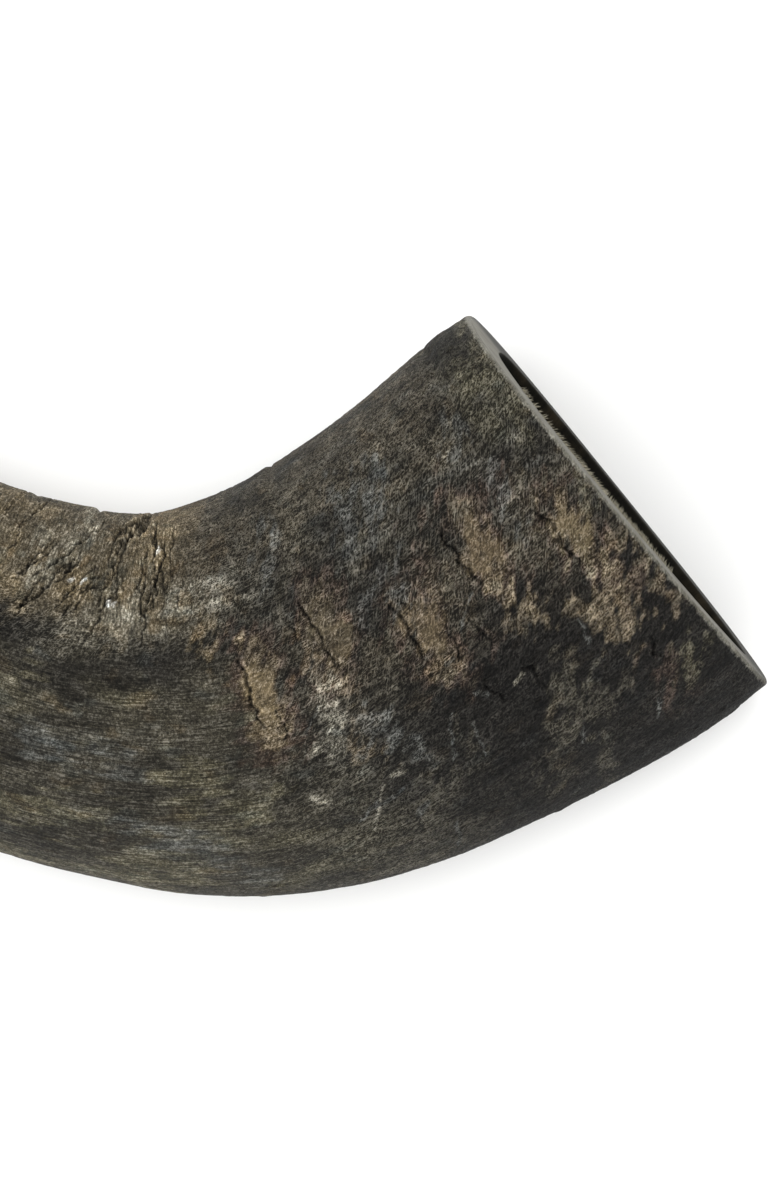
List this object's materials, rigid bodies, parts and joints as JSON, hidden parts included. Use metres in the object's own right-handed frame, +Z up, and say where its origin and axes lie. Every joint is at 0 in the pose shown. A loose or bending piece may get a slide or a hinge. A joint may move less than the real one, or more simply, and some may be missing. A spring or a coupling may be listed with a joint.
{
  "type": "natural horn shofar",
  "caption": "Curved natural ram's-horn shofar lying on its side, sawn open at the wide bell, raw and weathered outside, scraped and drilled to a cupped mouthpiece at the narrow tip.",
  "frame": {"origin": "bottom centre of the whole horn's bounding box, on the floor it lies on", "axes": "+Z up from the floor; +X out of the sawn face of the bell; +Y along the straight drilled tip, towards the mouthpiece"},
  "size_m": [0.1494, 0.339, 0.0461],
  "materials": {
    "raw_crust": "raw weathered keratin, dull, with a little sheen on its ridges",
    "horn_wall": "sawn and bare keratin, matte",
    "scraped_horn": "scraped and half-polished keratin, satin"
  },
  "bodies": {
    "root": {"weathered_crust": "raw_crust", "first_year_tip": "scraped_horn", "second_year_cone": "scraped_horn", "third_year_cone": "horn_wall", "fourth_year_cone": "horn_wall", "fifth_year_bell": "horn_wall"}
  },
  "joints": []
}
